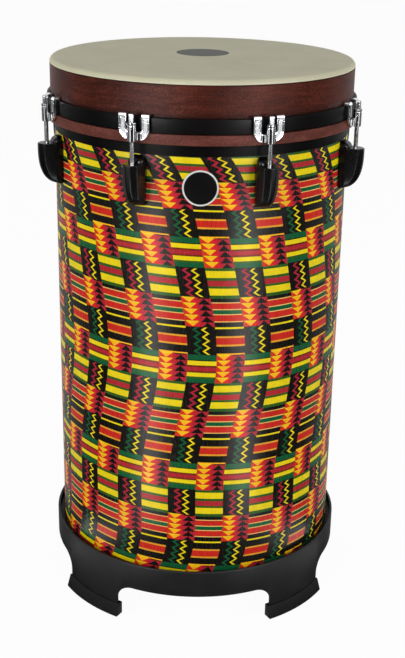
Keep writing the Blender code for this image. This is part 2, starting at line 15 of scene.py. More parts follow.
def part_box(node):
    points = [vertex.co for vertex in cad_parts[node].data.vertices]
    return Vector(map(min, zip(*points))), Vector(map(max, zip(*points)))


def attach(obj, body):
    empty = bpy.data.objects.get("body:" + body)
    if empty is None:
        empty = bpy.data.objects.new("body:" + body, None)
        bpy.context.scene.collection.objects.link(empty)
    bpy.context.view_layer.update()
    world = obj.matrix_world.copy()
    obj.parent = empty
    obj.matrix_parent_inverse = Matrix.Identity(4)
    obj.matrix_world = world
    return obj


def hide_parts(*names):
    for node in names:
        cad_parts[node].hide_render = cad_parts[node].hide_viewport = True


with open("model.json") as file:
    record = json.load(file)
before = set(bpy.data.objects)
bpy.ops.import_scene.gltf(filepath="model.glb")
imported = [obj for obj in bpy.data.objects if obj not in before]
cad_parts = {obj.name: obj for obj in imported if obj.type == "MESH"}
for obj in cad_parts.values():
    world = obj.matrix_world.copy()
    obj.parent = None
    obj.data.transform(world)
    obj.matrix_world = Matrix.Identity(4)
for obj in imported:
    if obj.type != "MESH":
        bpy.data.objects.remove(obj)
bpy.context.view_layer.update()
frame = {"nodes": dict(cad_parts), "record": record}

QUARTER = math.pi / 2  # of a turn
FRONT = -QUARTER
TURN_STEPS = 192  # facets round the drum
SMOOTH_ANGLE = math.radians(34)
SHARP_ANGLE = math.radians(50)  # edges that bend more are eased
WELD = 1e-6
CUT_MARGIN = 0.002
MM = 0.001
CORNER_PARTS = 2.2  # an eased corner takes at most a side's length over this
FLAT_ANGLE = math.radians(1)  # faces that differ less are one flat face

# Steps in an eased corner, a bend, a curve and a long curve
CORNER_STEPS = 4
BEND_STEPS = 6
CURVE_STEPS = 8
LONG_STEPS = 12


def ring_size(node):
    """Outer radius, lowest and highest point of a turned solid."""
    low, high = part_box(node)
    return high.x, low.z, high.z


def station_size(node, turn):
    """Lowest and highest corners of a solid, turned so that its station lies along +X."""
    spin = Matrix.Rotation(-turn, 3, "Z")
    points = [spin @ vertex.co for vertex in frame["nodes"][node].data.vertices]
    return [Vector(pick(point[axis] for point in points) for axis in range(3)) for pick in (min, max)]


def count(prefix):
    return sum(name.startswith(prefix) for name in frame["nodes"])


SLOTS = {row["node"]: row["material_slot"] for row in frame["record"]["subparts"]}
STATIONS = count("claw_")
FEET = count("rubber_foot_")
STATION_TURNS = [FRONT + (index - 0.5) * math.tau / STATIONS for index in range(STATIONS)]
FOOT_TURNS = [FRONT + (index - 0.5) * math.tau / FEET for index in range(FEET)]

# Sizes of the solids
SKIN_RADIUS, SKIN_FOOT, HEAD_TOP = ring_size("head_skin")
COLLAR_RADIUS, COLLAR_FOOT, COLLAR_TOP = ring_size("head_collar")
HOOP_RADIUS, HOOP_FOOT, HOOP_TOP = ring_size("flesh_hoop")
BAND_RADIUS, BAND_FOOT, BAND_TOP = ring_size("tension_band")
SHELL_RADIUS, SHELL_FOOT, SHELL_TOP = ring_size("shell")
WRAP_RADIUS, WRAP_FOOT, WRAP_TOP = ring_size("printed_wrap")
BASE_RADIUS, BASE_FOOT, BASE_TOP = ring_size("foot_base")
CLAW_LOW, CLAW_HIGH = station_size("claw_1", STATION_TURNS[0])
ROD_LOW, ROD_HIGH = station_size("tension_rod_1", STATION_TURNS[0])
LUG_LOW, LUG_HIGH = station_size("lug_1", STATION_TURNS[0])
NUT_LOW, NUT_HIGH = station_size("swivel_nut_1", STATION_TURNS[0])
FOOT_TOP = station_size("rubber_foot_1", FOOT_TURNS[0])[1].z
BADGE_LOW, BADGE_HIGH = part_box("badge")
ROD_CIRCLE = (ROD_LOW.x + ROD_HIGH.x) / 2

# Head and shell
SKIN = 0.0006
SKIN_SHOULDER = HEAD_TOP - SKIN_FOOT
COLLAR_WALL = 0.0049
COLLAR_EDGE = 0.0007
BAND_INNER = CLAW_LOW.x
RING_EDGE = 0.0009
SEAM = 0.0008  # open line between the skin's edge and the collar
COLLAR_PAINTED_SHADE = (BAND_TOP, SKIN_FOOT)  # heights towards which painted shade darkens the wood, above the band and under the skin's edge
# heights towards which painted shade darkens the hoop's edges
HOOP_PAINTED_SHADE = (HOOP_FOOT - 0.004, HOOP_TOP + 0.001)
SHELL_WALL = 0.007
BEARING_ROUND = 0.0026
WRAP = 0.0006
GAP = 0.0003

# Claws
CLAW_ARM = 0.009
CLAW_SLOT = CLAW_HIGH.y - CLAW_ARM  # half the gap between the arms
CLAW_FOOT = CLAW_LOW.z + GAP
CLAW_PLATE = 0.003
CLAW_BACK = max(BAND_RADIUS, HOOP_RADIUS) + GAP
CLAW_FRONT = CLAW_BACK + CLAW_PLATE
CLAW_WEB = 0.0085
CLAW_CORNER = 0.0125
CLAW_BORDER = 0.0014  # raised round the claw's face
CLAW_RECESS = 0.0012
CLAW_DRAFT = CLAW_RECESS / 3  # by which the recess narrows towards its floor
CLAW_SLOT_FILLET = 0.003
CLAW_BEND = 0.0022  # where an arm turns over the band
CLAW_FILLET = 0.0035  # between barrel and plate
CLAW_EDGE = 0.0006
CLAW_STEPS = 10
BARREL_RADIUS = CLAW_HIGH.x - ROD_CIRCLE
BARREL_HEIGHT = 0.0167
BARREL_TOP = CLAW_FOOT + BARREL_HEIGHT
BARREL_NECK = 0.92 * BARREL_RADIUS  # where the gusset runs into it
ROUND_SIDES = 32

# Tension rods
ROD_RADIUS = 0.00275
SHANK_RADIUS = 0.0024  # above the thread, which is rolled out of it
THREAD_SINK = 0.002  # the thread ends this far inside the lug
ROD_CLEAR = 0.0004
THREAD_PITCH = 0.0254 / 24
THREAD_DEPTH = 0.00045
THREAD_ROWS = 6  # rings of points in one turn of the thread
THREAD_SIDES = 20
FLANGE = 0.0026
FLANGE_RADIUS = 0.005
FLANGE_EDGE = FLANGE / 4
KEY_SIDE = 0.006
KEY_HEIGHT = 0.0092
KEY_EDGE = 0.0011

# Lugs
SHOULDER_RISE = 0.0073
SHOULDER_DEPTH = 0.0105
SHOULDER_WIDTH = 0.018
SHOULDER_TAPER = 0.45  # share of the width that it loses towards its top
SHOULDER_ROUND = 0.45  # radius of its upright corners, as a share of its depth
SHOULDER_END = 0.98 * QUARTER  # a whole quarter turn would close it to a line
LUG_DECK = LUG_HIGH.z - SHOULDER_RISE
THREAD_TOP = LUG_DECK - THREAD_SINK
LUG_STRAIGHT = 0.006
LUG_BEND = LUG_DECK - LUG_STRAIGHT  # height below which it draws in
LUG_WIDTH = LUG_HIGH.y - LUG_LOW.y
LUG_FOOT_WIDTH = 0.016
LUG_FOOT_DEPTH = 0.0015
LUG_FULLNESS = 2.5  # 2 would round its lower end as an ellipse
LUG_BACK_CREASE = 0.0075  # from the wall
LUG_FRONT_CREASE = 0.0047  # behind the front
LUG_CREASE_LIMITS = (0.5, 0.7)  # shares of the depth: the back one at most, the front one at least
LUG_SPREAD = (0.88, 1.0, 0.8, 0.27)  # shares of the half width at wall, creases and front
LUG_EDGE = 0.0011
LUG_EDGE_LIMIT = 0.2  # share of the depth
LUG_STEPS = 20

# Base and feet
BASE_LIP = 0.0012
BASE_RIM = 0.0028  # thickness of the rim, which stands off the wrap
BASE_GROOVE = 0.011  # depth of the groove behind the rim
LEDGE_HEIGHT = SHELL_FOOT - GAP
LEDGE = 0.0045
LEDGE_REACH = 0.0025
LEG_WALL = 0.0045
LEG_INNER = BASE_RADIUS - LEG_WALL
LEG_ANGLE = math.radians(28.6)
ARCH_HEIGHT = 0.0435
ARCH_FILLET = 0.018
BASE_EDGE = 0.0008
FOOT_SOLE = 0.006
FOOT_WALL = 0.0013
FOOT_FLARE = 0.0046  # on the outside only
FOOT_EDGE = 0.0006
FOOT_STEPS = 40

# Badge
BADGE_LIP = 0.0007  # the white ring's reach past the plate
BADGE_EDGE = 0.0004  # from its outline to the raised ring
BADGE_RING = 0.0015
BADGE_FACE = 0.55  # height of the black face, as a share of the thickness
BADGE_FACE_RINGS = (0.75, 0.5, 0.25)
BADGE_STEPS = 72

# Nuts and screws
HIDDEN_EDGE = 0.0003

# Head print: a plain dark disc
DISC_RADIUS = 0.0317
DISC_RING = 0.0022
DISC_OFFSET = 0.0271

# Camera
CAMERA_PLACE = Vector((0, -1.4107, 0.8572))
CAMERA_TILT = math.radians(20.7991)
CAMERA_YAW = math.radians(0.2269)
CAMERA_ROLL = math.radians(1.0378)
CAMERA_LENS = 64.956

# Light
AMBIENT = 0.3
BACKGROUND = 0.975
FLOOR_GLOW = 1.0
FLOOR_GREY = 0.86
FLOOR_HALF = 15.0
SHADOW_SHARE = 0.04  # how much of the floor's white gives way to shadow
CLOTH_TURN = 100  # degrees to each side of the front, where the cloth also hangs up
CLOTH_REACH = 4.0
CLOTH_RISE = 1.6
CLOTH_STEPS = 72
CLOTH_GREYS = ((0.47, 0.0), (0.56, 0.28), (0.8, 0.42))  # from front to back, by shares of half a turn
LIT_PLACE = (0, 0, 0.33)

# Soft lamps: name, place, size and watts
LAMPS = (
    ("key", (-1.45, -1.35, 0.95), (1.1, 1.1), 20),
    ("fill", (1.5, -1.3, 0.9), (1.1, 1.1), 18),
    ("top", (0, 0.3, 2.4), (1.4, 1.4), 3),
)

# Panels left and right: name, degrees from the front, reach, size, height, watts and degrees of lean
SHEENS = (
    ("wall_sheen", 18.5, 0.2, (0.08, 0.5), 0.25, 0.78, 4),
    ("collar_sheen", 17, 0.2, (0.08, 0.05), 0.625, 0.52, 0),
    ("claw_sheen", 22.5, 1.0, (0.4, 0.2), 0.32, 0.3, 0),
    ("claw_shade", 22.5, 1.0, (0.4, 0.16), 0.505, 0.1, 0),
    ("leg_sheen", 41, 0.12, (0.2, 0.03), 0.015, 0.045, 0),
)


def srgb(red, green, blue):
    """A colour as it shows on screen, from 0 to 255, as the linear values that shaders take."""
    def linear(level):
        share = level / 255
        return share / 12.92 if share <= 0.04045 else ((share + 0.055) / 1.055) ** 2.4

    return (linear(red), linear(green), linear(blue), 1.0)


# Shapes


def arc(centre, radii, start, end, steps):
    """Points on an elliptic arc, both ends included."""
    angles = [start + (end - start) * step / steps for step in range(steps + 1)]
    return [
        (centre[0] + radii[0] * math.cos(angle), centre[1] + radii[1] * math.sin(angle))
        for angle in angles
    ]


def rounded(corners, radius, steps=CORNER_STEPS):
    """A closed outline with each corner eased by a curve that starts a radius away from it."""
    made = []
    for index, corner in enumerate(corners):
        here = Vector(corner)
        ends = []
        for other in (corners[index - 1], corners[(index + 1) % len(corners)]):
            along = Vector(other) - here
            ends.append(here + along.normalized() * min(radius, along.length / CORNER_PARTS))
        for step in range(steps + 1):
            share = step / steps
            point = ends[0] * (1 - share) ** 2 + here * 2 * share * (1 - share) + ends[1] * share**2
            made.append(tuple(point))
    return made


def finished(name, shape):
    """The mesh of a built shape, with its faces pointing out and shaded smooth."""
    bmesh.ops.remove_doubles(shape, verts=shape.verts[:], dist=WELD)
    bmesh.ops.recalc_face_normals(shape, faces=shape.faces[:])
    mesh = bpy.data.meshes.new(name)
    shape.to_mesh(mesh)
    shape.free()
    return smooth(mesh)


def smooth(mesh):
    mesh.shade_smooth()
    mesh.set_sharp_from_angle(angle=SMOOTH_ANGLE)
    return mesh


def strip_faces(shape, near, far):
    """Faces between two closed rings of points."""
    for index in range(len(near)):
        shape.faces.new((near[index - 1], near[index], far[index], far[index - 1]))


def turned(name, profile, start=0.0, sweep=math.tau, steps=TURN_STEPS):
    """A closed (radius, height) profile turned about Z."""
    whole = sweep == math.tau
    shape = bmesh.new()
    rings = []
    for step in range(steps if whole else steps + 1):
        angle = start + sweep * step / steps
        side, depth = math.cos(angle), math.sin(angle)
        rings.append([shape.verts.new((out * side, out * depth, height)) for out, height in profile])
    for near, far in zip(rings, rings[1:] + rings[:1] if whole else rings[1:]):
        strip_faces(shape, near, far)
    if not whole:
        shape.faces.new(rings[0])
        shape.faces.new(rings[-1])
    return finished(name, shape)


def loft(name, sections):
    """A closed solid through a run of sections with as many points each."""
    shape = bmesh.new()
    rings = [[shape.verts.new(point) for point in section] for section in sections]
    for near, far in zip(rings, rings[1:]):
        strip_faces(shape, near, far)
    shape.faces.new(rings[0])
    shape.faces.new(rings[-1])
    return finished(name, shape)


def prism(name, outlines, vectors):
    """A solid of one or more outlines of 3-D points, each moved along a vector."""
    shape = bmesh.new()
    for outline, vector in zip(outlines, vectors):
        near = [shape.verts.new(point) for point in outline]
        far = [shape.verts.new(Vector(point) + Vector(vector)) for point in outline]
        strip_faces(shape, near, far)
        shape.faces.new(near)
        shape.faces.new(far)
    return finished(name, shape)


def post(name, ring, centre, low, high):
    """A bar along Z from a ring of (x, y) points, with its axis out along X."""
    outline = [(centre + out, across, low) for out, across in ring]
    return prism(name, [outline], [(0, 0, high - low)])


def round_edges(shape, edges, width, segments):
    bmesh.ops.bevel(
        shape,
        geom=edges,
        offset=width,
        offset_type="OFFSET",
        segments=segments,
        profile=0.5,
        affect="EDGES",
        clamp_overlap=True,
    )


def eased(mesh, width, segments=2):
    """The mesh with its sharp edges rounded."""
    shape = bmesh.new()
    shape.from_mesh(mesh)
    sharp = [edge for edge in shape.edges if edge.is_manifold and edge.calc_face_angle() > SHARP_ANGLE]
    round_edges(shape, sharp, width, segments)
    shape.to_mesh(mesh)
    shape.free()
    return smooth(mesh)


def placed(name, data):
    """A new object in the scene."""
    made = bpy.data.objects.new(name, data)
    bpy.context.scene.collection.objects.link(made)
    return made


def combined(mesh, tools, operation):
    """The mesh joined with the tools, or cut by them."""
    target = placed("target", mesh)
    helpers = [placed("tool", tool) for tool in tools]
    for helper in helpers:
        step = target.modifiers.new("step", "BOOLEAN")
        step.operation = operation
        step.solver = "EXACT"
        step.object = helper
    bpy.context.view_layer.update()
    graph = bpy.context.evaluated_depsgraph_get()
    made = bpy.data.meshes.new_from_object(target.evaluated_get(graph))
    made.name = mesh.name
    for item in (target, *helpers):
        bpy.data.objects.remove(item)
    return smooth(made)


def piece(name, mesh, finishes, body, node, turn=0.0, place=(0, 0, 0)):
    """A visible piece that stands for a CAD node, with the finish of its slot, and moves with its body."""
    made = placed(name, mesh)
    if not mesh.materials:
        mesh.materials.append(finishes[SLOTS[node]])
    made.rotation_euler.z = turn
    made.location = place
    bpy.context.view_layer.update()
    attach(made, body)
    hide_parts(node)
    return made


# Procedural finishes


def grey_stops(stops):
    """Greys for a ramp, each from its own start."""
    return [(start, (grey, grey, grey, 1)) for start, grey in stops]


class Field:
    """A number that varies over a surface. Arithmetic on it adds Math nodes to its tree."""

    def __init__(self, nodes, socket):
        self.nodes = nodes
        self.socket = socket

    def math(self, operation, *others):
        node = self.nodes.node("ShaderNodeMath")
        node.operation = operation
        for slot, value in zip(node.inputs, (self, *others)):
            self.nodes.put(slot, value)
        return Field(self.nodes, node.outputs[0])

    def __add__(self, other):
        return self.math("ADD", other)

    def __sub__(self, other):
        return self.math("SUBTRACT", other)

    def __mul__(self, other):
        return self.math("MULTIPLY", other)

    def __truediv__(self, other):
        return self.math("DIVIDE", other)

    def scaled(self, factor, offset):
        return self.math("MULTIPLY_ADD", factor, offset)

    def below(self, limit):
        return self.math("LESS_THAN", limit)

    def above(self, limit):
        return self.math("GREATER_THAN", limit)

    def between(self, low, high):
        return self.above(low) * self.below(high)

    def share(self):
        """Position inside the current whole step, from 0 to 1."""
        return self.math("FRACT")

    def distance(self, other):
        return (self - other).math("ABSOLUTE")


class Nodes:
    """A tree of shader nodes."""

    def __init__(self, tree):
        self.tree = tree

    def node(self, kind, **inputs):
        """A new node, with some of its inputs linked or set."""
        made = self.tree.nodes.new(kind)
        for socket, value in inputs.items():
            self.put(made.inputs[socket], value)
        return made

    def put(self, socket, value):
        """Link a field or another node's socket, or set a constant."""
        if isinstance(value, Field):
            value = value.socket
        if isinstance(value, bpy.types.NodeSocket):
            self.tree.links.new(value, socket)
        else:
            socket.default_value = value


class Finish(Nodes):
    """A material built from nodes around one Principled shader."""

    def __init__(self, name, **constants):
        self.material = bpy.data.materials.new(name)
        self.material.use_nodes = True
        super().__init__(self.material.node_tree)
        self.shader = self.tree.nodes["Principled BSDF"]
        for socket, value in constants.items():
            self.feed(socket.replace("_", " "), value)
        self.object_place = self.node("ShaderNodeTexCoord").outputs["Object"]

    def feed(self, socket, value):
        self.put(self.shader.inputs[socket], value)

    def axes(self):
        """X, Y and Z of the surface in millimetres."""
        node = self.node("ShaderNodeSeparateXYZ", Vector=self.object_place)
        return [Field(self, socket) / MM for socket in node.outputs]

    def grey(self, field):
        return self.node("ShaderNodeCombineXYZ", X=field, Y=field, Z=field).outputs[0]

    def noise(self, size, detail=3.0, stretch=(1, 1, 1), distortion=0.0, roughness=0.55):
        """Noise whose features are about one size across, before stretching."""
        place = self.node("ShaderNodeVectorMath")
        place.operation = "MULTIPLY"
        self.put(place.inputs[0], self.object_place)
        self.put(place.inputs[1], stretch)
        node = self.node(
            "ShaderNodeTexNoise",
            Vector=place.outputs[0],
            Scale=1 / size,
            Detail=detail,
            Roughness=roughness,
            Distortion=distortion,
        )
        return Field(self, node.outputs[0])

    def ramp(self, field, stops, interpolation="LINEAR"):
        """Colours along a field, each from its own start."""
        node = self.node("ShaderNodeValToRGB")
        self.put(node.inputs[0], field)
        scale = node.color_ramp
        scale.interpolation = interpolation
        while len(scale.elements) < len(stops):
            scale.elements.new(1.0)
        for element, (start, colour) in zip(scale.elements, stops):
            element.position = start
            element.color = colour
        return node.outputs[0]

    def mix(self, share, first, second, kind="MIX"):
        """One colour going over to another."""
        node = self.node("ShaderNodeMix")
        node.data_type = "RGBA"
        node.blend_type = kind
        self.put(node.inputs[0], share)
        self.put(node.inputs[6], first)
        self.put(node.inputs[7], second)
        return node.outputs[2]

    def made(self, colour, roughness, height, depth):
        """The material with its colour, its roughness and fine relief from a height field of 0 to 1."""
        self.feed("Base Color", colour)
        self.feed("Roughness", roughness)
        bump = self.node("ShaderNodeBump", Distance=depth, Height=height)
        self.feed("Normal", bump.outputs[0])
        return self.material


# Colours of the print
YELLOW = srgb(232, 208, 16)
AMBER = srgb(248, 178, 26)
ORANGE_LINE = srgb(222, 158, 40)
CREAM = srgb(232, 196, 110)
RED = srgb(198, 38, 26)
CRIMSON = srgb(172, 38, 46)
ROSE = srgb(172, 36, 50)
WINE = srgb(164, 34, 52)
ORANGE_RED = srgb(206, 52, 22)
BRIGHT_RED = srgb(216, 28, 36)
GREEN = srgb(18, 88, 50)
LEAF = srgb(44, 88, 30)
BROWN = srgb(112, 38, 18)
INK = srgb(22, 20, 16)

PAIRS_ROUND = 17  # pairs of strips round the drum
PAIR_OFFSET = 0.25  # of a pair, at the front
ROW_MM = 34.23  # height of one block of the print
ROWS = 4  # blocks before a strip repeats
PRINT_TOP = 595.8  # height of a block's top edge at the front
WARP_MM = 1.3
WEFT_MM = 0.9

# How the cloth lies, in millimetres. Its strips drift sideways by powers of the level, from -1 to 1,
# in a slow wave and round the drum. Its rows slope round the drum and draw together near the top.
LEVEL_MIDDLE = 330.0
LEVEL_HALF = 250.0
DRIFT = (-2.36, 10.64, -6.08, -22.04, -33.62)
SIDE_DRIFT = 4.02
WAVE = 6.69
WAVE_MIDDLE = 341.6
WAVE_LENGTH = 270
SLOPE = -3.92
SECOND_SLOPE = -1.72
LEVEL_SLOPE = 3.09
SQUEEZE = 12.0
SQUEEZE_START = 470.0
SQUEEZE_SPAN = 110.0

# Each strip from a block's top edge down: the start of each stripe in blocks, and its colour.
STRIP_A = (
    (0.0, LEAF), (0.09, YELLOW), (0.325, LEAF), (0.42, CRIMSON), (0.595, LEAF), (0.675, YELLOW), (0.91, LEAF),
    (1.03, INK), (1.155, CREAM), (1.185, RED), (1.385, CREAM), (1.415, GREEN), (1.56, CREAM), (1.59, RED),
    (1.805, CREAM), (1.835, INK),
    (2.005, YELLOW), (2.075, INK), (2.315, ORANGE_LINE), (2.38, RED), (2.615, ORANGE_LINE), (2.68, INK),
    (2.925, AMBER), (2.985, ORANGE_RED),
)
STRIP_B = (
    (0.0, INK), (1.0, ORANGE_RED), (2.0, INK),
    (2.99, GREEN), (3.18, INK), (3.21, YELLOW), (3.375, BROWN), (3.435, CRIMSON), (3.57, BROWN),
    (3.63, YELLOW), (3.78, LEAF), (3.845, GREEN),
)

# Triangles, in blocks down the strip and in widths across it
TRIANGLES = 5  # in one block
TRIANGLES_TOP_A = 2.985
TRIANGLES_TOP_B = 1.0
TRIANGLE_STEP = 0.203
LIGHT_CENTRE = 0.255
LIGHT_HALF = 0.238
LIGHT_TAPER = -0.255
DARK_CENTRE = 0.765
DARK_HALF = 0.22
DARK_LAG = 0.2

# Zigzags, in the same measures. Each line has its block, its middle, half its stroke and its colour.
ZIGZAGS = 4  # in one block
ZIGZAG_SWING = 0.19
ZIGZAG_START = 0.12
ZIGZAG_SPAN = (0.03, 0.985)
ZIGZAG_LINES = (
    (0, 0.355, 0.06, WINE),
    (2, 0.355, 0.055, GREEN),
    (0, 0.65, 0.046, YELLOW),
    (2, 0.65, 0.046, YELLOW),
)


def strip_colour(finish, rows, stripes):
    """Cross stripes of a strip, from its place in the repeat."""
    stops = [(start / ROWS, colour) for start, colour in stripes]
    return finish.ramp(rows / ROWS, stops, "CONSTANT")


def triangle_block(finish, rows, across, top, under):
    """Light triangles pointing down and dark ones pointing up, over a red ground."""
    place = (rows - top) / TRIANGLE_STEP
    inside = place.between(0.0, TRIANGLES)
    ground = finish.ramp(across, ((0.0, ORANGE_RED), (0.42, BRIGHT_RED), (0.6, ROSE), (1.0, ROSE)))
    down = place.share()
    light = across.distance(LIGHT_CENTRE).below(down.scaled(LIGHT_TAPER, LIGHT_HALF))
    tone = finish.ramp(down, ((0.0, YELLOW), (0.35, AMBER), (1.0, AMBER)))
    rising = (place - DARK_LAG).share()
    dark = across.distance(DARK_CENTRE).below(rising * DARK_HALF)
    shown = finish.mix(light, ground, tone)
    shown = finish.mix(dark, shown, INK)
    return finish.mix(inside, under, shown)


def zigzag(finish, rows, across, under, block, middle, half_stroke, colour):
    """One zigzag line down a dark block."""
    swing = (rows - ZIGZAG_START).math("PINGPONG", 0.5 / ZIGZAGS) * (2 * ZIGZAGS)
    line = swing.scaled(ZIGZAG_SWING, middle - ZIGZAG_SWING / 2)
    stroke = across.distance(line).below(half_stroke)
    inside = rows.between(*(block + end for end in ZIGZAG_SPAN))
    return finish.mix(stroke * inside, under, colour)


def print_colour(finish):
    """Strip-cloth pattern: blocks of cross stripes, triangles and zigzags in two strips that alternate."""
    x, y, z = finish.axes()
    angle = x.math("ARCTAN2", y * -1.0)  # from the front, to the right
    sine = angle.math("SINE")
    level = (z - LEVEL_MIDDLE) / LEVEL_HALF
    square = level * level
    offset, first, second, third, fourth = DRIFT
    wander = level.scaled(first, offset) + square.scaled(fourth, second) * square + square * level * third
    wave = ((z - WAVE_MIDDLE) * (math.tau / WAVE_LENGTH)).math("COSINE") * WAVE
    wander = wander + wave + sine * SIDE_DRIFT
    pairs = angle * (PAIRS_ROUND / math.tau) - wander / (math.tau * WRAP_RADIUS / MM / PAIRS_ROUND)
    slope = (angle * 2.0).math("SINE") * SECOND_SLOPE + sine * level * LEVEL_SLOPE
    top = sine.scaled(SLOPE, PRINT_TOP) + slope
    squeeze = ((z - SQUEEZE_START) / SQUEEZE_SPAN).math("MAXIMUM", 0.0).math("POWER", 2.0) * SQUEEZE
    rows = ((top - z - squeeze) / (ROWS * ROW_MM)).share() * ROWS
    beside = (pairs + PAIR_OFFSET).share() * 2.0
    in_strip_a = beside.above(1.0)
    across = beside.share()
    strip_a = strip_colour(finish, rows, STRIP_A)
    strip_a = triangle_block(finish, rows, across, TRIANGLES_TOP_A, strip_a)
    strip_b = strip_colour(finish, rows, STRIP_B)
    strip_b = triangle_block(finish, rows, across, TRIANGLES_TOP_B, strip_b)
    for line in ZIGZAG_LINES:
        strip_b = zigzag(finish, rows, across, strip_b, *line)
    return finish.mix(in_strip_a, strip_b, strip_a)


def print_finish():
    """Printed cloth under a glossy coat, with its threads and fibres in relief."""
    finish = Finish("printed_wrap", Specular_IOR_Level=0.2)
    x, y, z = finish.axes()
    around = x.math("ARCTAN2", y * -1.0) * (WRAP_RADIUS / MM)
    weft = (z * (math.tau / WEFT_MM)).math("SINE")
    threads = (around * (math.tau / WARP_MM)).math("SINE") * weft.scaled(0.3, 0.7)
    worn = finish.noise(0.012, detail=4)
    shade = worn.scaled(0.34, 0.82) + threads * 0.05
    dyed = finish.mix(1.0, print_colour(finish), finish.grey(shade), "MULTIPLY")
    fibres = finish.noise(0.0012, detail=2, stretch=(1, 1, 0.12))
    rough = finish.noise(0.05, detail=2).scaled(0.12, 0.1) + fibres * 0.2
    return finish.made(dyed, rough, threads * 0.4 + worn * 0.4 + fibres * 0.6, 0.00006)


def skin_finish():
    """Cream synthetic skin with a plain dark disc."""
    finish = Finish("drum_skin", Specular_IOR_Level=0.08)
    x, y = finish.axes()[:2]
    fibres = finish.noise(0.004, detail=5, stretch=(1, 3.5, 1), distortion=0.8)
    clouds = finish.noise(0.06)
    tone = finish.ramp(
        fibres * 0.4 + clouds * 0.6,
        ((0.25, srgb(192, 189, 162)), (0.5, srgb(203, 200, 172)), (0.75, srgb(213, 209, 181))),
    )
    off = y - DISC_OFFSET / MM
    radius = (x * x + off * off).math("SQRT") + fibres * 0.8  # to its frayed outline
    tone = finish.mix(radius.below(DISC_RADIUS / MM), tone, srgb(54, 55, 51))
    tone = finish.mix(radius.below((DISC_RADIUS - DISC_RING) / MM), tone, srgb(82, 83, 78))
    height = fibres * 0.6 + finish.noise(0.0009) * 0.4
    return finish.made(tone, fibres.scaled(0.2, 0.42), height, 0.00008)


def wood_finish(name, dark, middle, light, grain, low, high):
    """Stained wood whose grain runs round the drum, with painted shade darkening it towards its lower and
    upper edge, where other parts meet it.
    """
    finish = Finish(name, Specular_IOR_Level=0.075)
    figure = finish.noise(0.05, detail=4, stretch=(1, 1, grain), distortion=0.6)
    pores = finish.noise(0.0024, stretch=(1, 1, 1.6), roughness=0.75)
    clouds = finish.noise(0.035, detail=2)
    field = figure * 0.3 + pores * 0.5 + clouds * 0.2
    stain = finish.ramp(field, ((0.38, dark), (0.5, middle), (0.62, light)))
    height = (finish.axes()[2] - low / MM) / ((high - low) / MM)
    # painted shade: the colour darkens towards the edges where the band and the skin's edge meet the wood
    edges = finish.ramp(height, grey_stops(((0.0, 0.3), (0.2, 1.0), (0.92, 1.0), (1.0, 0.6))))
    colour = finish.mix(1.0, stain, edges, "MULTIPLY")
    return finish.made(colour, pores.scaled(0.3, 0.24), pores * 0.8 + figure * 0.2, 0.0006)


def black_finish(name, dark, light, rough, specular, grain, depth):
    """Black coat, moulding or rubber with its own fine grain."""
    finish = Finish(name, Specular_IOR_Level=specular)
    peel = finish.noise(grain, detail=2)
    clouds = finish.noise(0.03, detail=4)
    colour = finish.ramp(clouds * 0.6 + peel * 0.4, ((0.3, dark), (0.7, light)))
    return finish.made(colour, clouds.scaled(0.16, rough - 0.08), peel, depth)


def metal_finish(name, dark, light, rough, spread, grain):
    """Plated metal with faint smears and polishing marks."""
    finish = Finish(name, Metallic=1.0)
    marks = finish.noise(grain, detail=4, roughness=0.65)
    smears = finish.noise(0.012)
    colour = finish.ramp(smears, ((0.3, dark), (0.7, light)))
    return finish.made(colour, (marks * 0.5 + smears * 0.5).scaled(spread, rough), marks, 0.00002)


def make_finishes():
    """All finishes by name, each row in the order of its maker's arguments."""
    woods = {
        "collar_wood": (srgb(38, 11, 5), srgb(67, 23, 12), srgb(96, 42, 27), 9, *COLLAR_PAINTED_SHADE),
        "hoop_wood": (srgb(72, 34, 26), srgb(94, 49, 40), srgb(116, 68, 57), 5, *HOOP_PAINTED_SHADE),
    }
    blacks = {
        "black_shell": (srgb(4, 3, 3), srgb(9, 7, 7), 0.4, 0.05, 0.0015, 0.00004),
        "black_steel": (srgb(4, 3, 3), srgb(9, 7, 7), 0.4, 0.06, 0.0008, 0.00003),
        "black_lug": (srgb(9, 9, 10), srgb(16, 16, 17), 0.22, 0.17, 0.0025, 0.00003),
        "base_plastic": (srgb(22, 22, 23), srgb(32, 32, 33), 0.5, 0.2, 0.0006, 0.00006),
        "black_rubber": (srgb(11, 11, 11), srgb(18, 18, 18), 0.6, 0.1, 0.0009, 0.0001),
        "badge_enamel": (srgb(12, 12, 12), srgb(20, 20, 20), 0.25, 0.15, 0.003, 0.00002),
        "badge_ring": (srgb(206, 206, 204), srgb(222, 222, 220), 0.35, 0.3, 0.002, 0.00002),
    }
    metals = {
        "chrome": (srgb(196, 197, 199), srgb(226, 227, 229), 0.06, 0.16, 0.002),
        "chrome_rod": (srgb(146, 147, 150), srgb(184, 185, 188), 0.12, 0.18, 0.001),
        "zinc_steel": (srgb(168, 166, 158), srgb(196, 193, 184), 0.3, 0.25, 0.0015),
        "screw_steel": (srgb(158, 158, 160), srgb(188, 188, 190), 0.28, 0.25, 0.0012),
    }
    made = {"printed_wrap": print_finish(), "drum_skin": skin_finish()}
    for maker, rows in ((wood_finish, woods), (black_finish, blacks), (metal_finish, metals)):
        made.update({name: maker(name, *values) for name, values in rows.items()})
    return made


# Pieces of the drum


def flat_ring(inner, outer, low, high, edge=RING_EDGE):
    """Profile of a ring with eased edges."""
    return rounded([(inner, low), (outer, low), (outer, high), (inner, high)], edge)


def head_skin():
    """Skin over the top, down its rounded shoulder, with its cut edge on the collar."""
    centre = (SKIN_RADIUS - SKIN_SHOULDER, SKIN_FOOT)
    inner = SKIN_SHOULDER - SKIN
    top = arc(centre, (SKIN_SHOULDER,) * 2, QUARTER, 0, LONG_STEPS)
    underside = arc(centre, (inner, inner), 0, QUARTER, CURVE_STEPS)
    return turned("head_skin", [(0, HEAD_TOP), *top, *underside, (0, HEAD_TOP - SKIN)])


